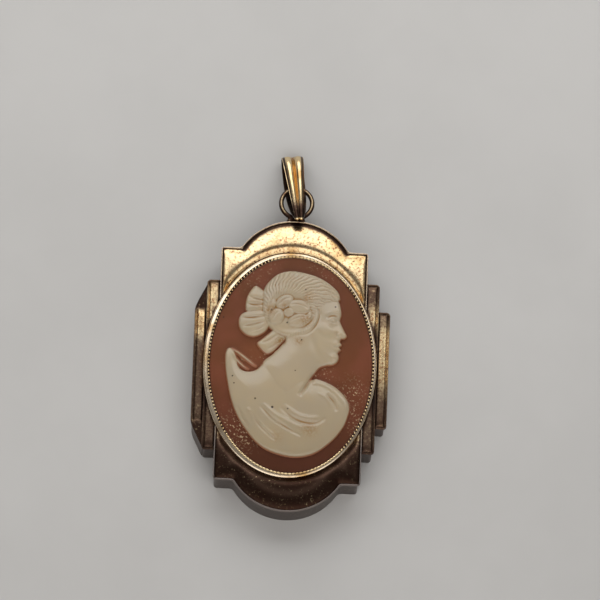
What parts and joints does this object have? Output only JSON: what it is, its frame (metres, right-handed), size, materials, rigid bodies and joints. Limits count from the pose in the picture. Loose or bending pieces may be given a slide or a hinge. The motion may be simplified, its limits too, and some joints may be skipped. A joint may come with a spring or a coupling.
{
  "type": "cameo pendant",
  "caption": "Oval shell cameo of a draped bust in a bead-edged bezel, set in a hollow stepped metal frame with a hanging ring and a swinging bail.",
  "frame": {"origin": "below the middle of the oval stone, in the plane of the frame's back rim", "axes": "+Z out of the pendant's face, +Y towards the hanging ring and bail, +X to the right of the face"},
  "size_m": [0.0208, 0.0414, 0.0053],
  "materials": {
    "frame_metal": "polished gold-filled metal, worn, with mottled brown patina",
    "bezel_metal": "polished gold-filled metal with a milled bead edge",
    "carved_shell": "carved shell, ivory relief on a reddish-brown ground, softly polished",
    "bail_metal": "polished gold-filled metal, darkened between its ridges"
  },
  "bodies": {
    "pendant": {"frame": "frame_metal", "bezel": "bezel_metal", "cameo": "carved_shell"},
    "bail": {"bail": "bail_metal"}
  },
  "joints": [
    {"name": "bail_swing", "type": "hinge", "parent": "pendant", "child": "bail", "pos_m": [-0.00017, 0.02031, 0.0029], "axis": [0.9945, 0.1045, 0], "range_deg": [-106, 8]}
  ]
}
